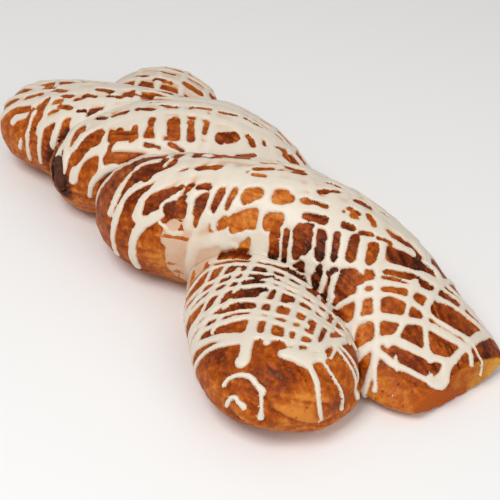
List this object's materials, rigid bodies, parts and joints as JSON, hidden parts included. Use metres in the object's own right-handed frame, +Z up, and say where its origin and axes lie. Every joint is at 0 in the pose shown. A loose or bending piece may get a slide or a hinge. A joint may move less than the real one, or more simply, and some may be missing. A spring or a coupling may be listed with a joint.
{
  "type": "iced danish twist",
  "caption": "Large twisted danish pastry: two filled dough strands baked into one loaf, one end cut straight, for white drizzle icing.",
  "frame": {"origin": "bottom centre of the bounding box, on the surface that the pastry rests on", "axes": "+X along the twist towards the end where one strand is cut straight, +Y towards the side that the cut strand's end lies on, +Z up"},
  "size_m": [0.2992, 0.1382, 0.064],
  "materials": {
    "crust": "baked, flaky, slightly glossy golden brown crust",
    "filling": "dark, moist cinnamon filling",
    "icing": "set white sugar icing, satin"
  },
  "bodies": {
    "root": {"dough": "crust", "filling_a": "filling", "filling_b": "filling"}
  },
  "joints": []
}
